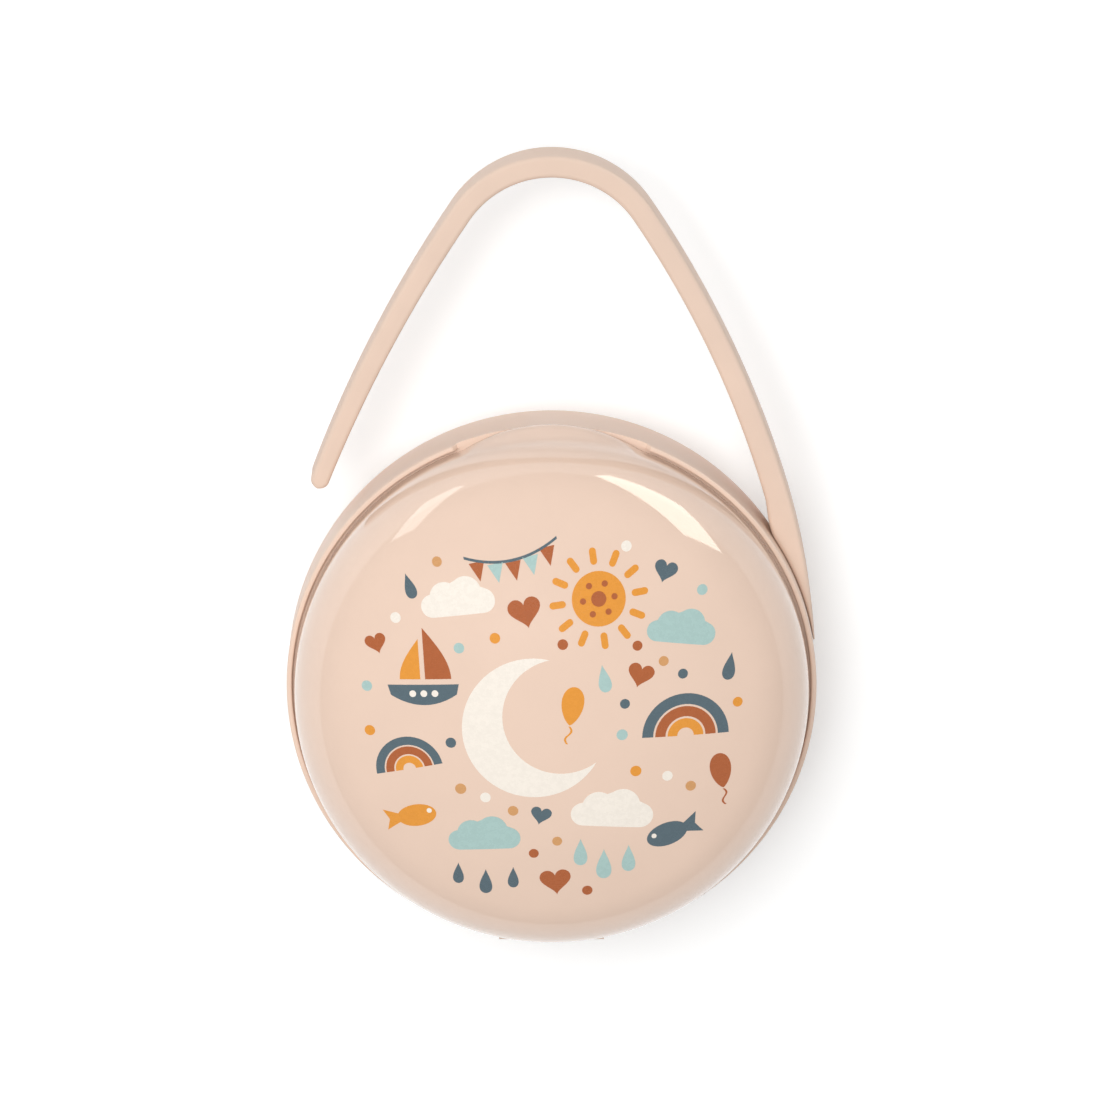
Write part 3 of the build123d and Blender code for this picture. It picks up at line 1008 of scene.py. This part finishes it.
class CASE_OT_lid_print(bpy.types.Operator):
    """Print: generic motifs in six inks, laid on the dome as thin plates"""

    bl_idname = "case.lid_print"
    bl_label = "Print on the lid"

    def execute(self, context):
        lid, sizes = context.scene.case_lid, context.scene.case_print
        height = lid.crown - context.scene.case_shell.depth
        crown_radius = wide_arc(lid.radius, lid.straight, lid.shoulder, 0.0, height)
        crown_centre = lid.crown - crown_radius
        tree = drape_tree()
        inks, bodies = {}, {}
        for name, layer, outlines, places in print_design():
            if name not in inks:
                inks[name] = printed_ink(name, getattr(context.scene.case_colours, name))
                bodies[name] = bmesh.new()
            motif = motif_object(outlines, sizes.ink * layer, 3 * sizes.ink, sizes.cell)
            mesh = laid_motif(tree, motif, places, crown_radius, crown_centre, inks[name])
            bodies[name].from_mesh(mesh)
            bpy.data.meshes.remove(mesh)
        for name, body in bodies.items():
            piece = body_object("print_" + name, body, inks[name])
            smooth(piece.data, 40)
            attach(piece, "lid")
        bpy.data.node_groups.remove(tree)
        return {"FINISHED"}


def area_light(name, place, target, width, height, power, tint, roll=0.0):
    """Soft box that looks at a target and that the camera doesn't see."""
    data = bpy.data.lights.new(name, "AREA")
    data.shape = "RECTANGLE"
    data.size, data.size_y = width, height
    data.energy = power
    data.color = tint
    lamp = bpy.data.objects.new(name, data)
    bpy.context.scene.collection.objects.link(lamp)
    lamp.location = place
    facing = (Vector(target) - Vector(place)).to_track_quat("-Z", "Y")
    lamp.rotation_euler = (facing @ Quaternion((0, 0, 1), roll)).to_euler()
    lamp.visible_camera = False
    return lamp


def gloss_window(name, start, azimuth, elevation, distance, width, height, radiance, tint, roll):
    """Window that only gloss sees. Its direction is in degrees, from +Y towards +X and upwards."""
    level, up = on_circle(distance, elevation)
    along, across = on_circle(level, azimuth)
    place = Vector(start) + Vector((across, along, up))
    power = radiance * pi * width * height
    lamp = area_light(name, place, start, width, height, power, tint, radians(roll))
    lamp.visible_diffuse = False
    return lamp


def floor_material():
    """White paper that keeps the shadows and shows white to the camera."""
    white = (0.875, 0.9, 0.92)
    glow = {"Specular IOR Level": 0.1, "Emission Color": (1.0, 1.0, 1.0, 1.0)}
    made, tree, sockets = material("white_paper", white, 0.9, glow)
    fibre = noise(tree, coordinates(tree), 0.8 * MM, 4.0)
    tree.links.new(shades(tree, fibre, white, 0.995, 1.0), sockets["Base Color"])
    path = tree.nodes.new("ShaderNodeLightPath").outputs
    seen = maths(tree, "MAXIMUM", path["Is Camera Ray"], path["Is Glossy Ray"])
    seen = maths(tree, "MAXIMUM", seen, path["Is Transmission Ray"])
    tree.links.new(maths(tree, "MULTIPLY", seen, 0.25), sockets["Emission Strength"])
    return made


class CASE_OT_stage(bpy.types.Operator):
    """Stage: pale floor, soft studio light and the camera"""

    bl_idname = "case.stage"
    bl_label = "Stage"

    def execute(self, context):
        scene, stage = context.scene, context.scene.case_stage
        body = bmesh.new()
        under = Matrix.Translation((0, 0, -0.05 * MM))
        bmesh.ops.create_grid(body, x_segments=1, y_segments=1, size=stage.floor / 2, matrix=under)
        floor = body_object("floor", body, floor_material())

        world = bpy.data.worlds.new("studio")
        scene.world = world
        world.use_nodes = True
        sky = world.node_tree.nodes["Background"].inputs
        sky["Color"].default_value = (1.0, 0.985, 0.97, 1.0)
        sky["Strength"].default_value = 0.44

        middle = (0.0, 10 * MM, 30 * MM)
        place, tint = (-0.25, 0.38, 1.46), (1.0, 0.985, 0.965)
        key = area_light("key", place, middle, width=0.85, height=0.85, power=15.6, tint=tint)
        key.visible_glossy = False
        across, along, up = 17 * MM, 30 * MM, 37 * MM
        gloss_window(
            "window_right", (across, along, up), azimuth=35, elevation=2, distance=0.24,
            width=0.2, height=0.1, radiance=6.0, tint=(1.0, 0.99, 0.88), roll=-38,
        )
        gloss_window(
            "window_left", (-across, along, up), azimuth=-40, elevation=-1, distance=0.2,
            width=0.11, height=0.045, radiance=3.0, tint=(1.0, 0.98, 0.92), roll=45,
        )

        data = bpy.data.cameras.new("camera")
        data.lens = stage.camera_lens
        data.sensor_width = 36.0
        data.clip_start, data.clip_end = 0.05, 20.0
        camera = bpy.data.objects.new("camera", data)
        scene.collection.objects.link(camera)
        back = Vector((0, sin(stage.camera_tilt), cos(stage.camera_tilt)))
        seam = scene.case_shell.depth
        target = Vector((stage.camera_side, stage.camera_height, seam))
        camera.location = target + back * stage.camera_distance
        camera.rotation_euler = (-stage.camera_tilt, 0, 0)
        scene.camera = camera
        scene.view_settings.view_transform = "Standard"
        return {"FINISHED"}


GROUPS = {
    "case_shell": ShellSizes,
    "case_lid": LidSizes,
    "case_hinge": HingeSizes,
    "case_strap": StrapSizes,
    "case_print": PrintSizes,
    "case_colours": CaseColours,
    "case_stage": StageSettings,
}
OPERATORS = (
    CASE_OT_rear_shell,
    CASE_OT_front_lid,
    CASE_OT_hinge_pin,
    CASE_OT_strap,
    CASE_OT_lid_print,
    CASE_OT_stage,
)


class CASE_PT_panel(bpy.types.Panel):
    """Buttons for the pieces of the case and for the stage"""

    bl_label = "Pacifier case"
    bl_idname = "CASE_PT_panel"
    bl_space_type = "VIEW_3D"
    bl_region_type = "UI"
    bl_category = "Case"

    def draw(self, context):
        for operator in OPERATORS:
            self.layout.operator(operator.bl_idname)


def register():
    for name, group in GROUPS.items():
        bpy.utils.register_class(group)
        setattr(bpy.types.Scene, name, PointerProperty(type=group))
    for operator in OPERATORS:
        bpy.utils.register_class(operator)
    bpy.utils.register_class(CASE_PT_panel)


def unregister():
    bpy.utils.unregister_class(CASE_PT_panel)
    for operator in reversed(OPERATORS):
        bpy.utils.unregister_class(operator)
    for name, group in reversed(GROUPS.items()):
        delattr(bpy.types.Scene, name)
        bpy.utils.unregister_class(group)


def main():
    """Builds every piece in order."""
    register()
    bpy.ops.case.rear_shell()
    bpy.ops.case.front_lid()
    bpy.ops.case.hinge_pin()
    bpy.ops.case.strap()
    bpy.ops.case.lid_print()
    bpy.ops.case.stage()


if __name__ == "__main__":
    main()
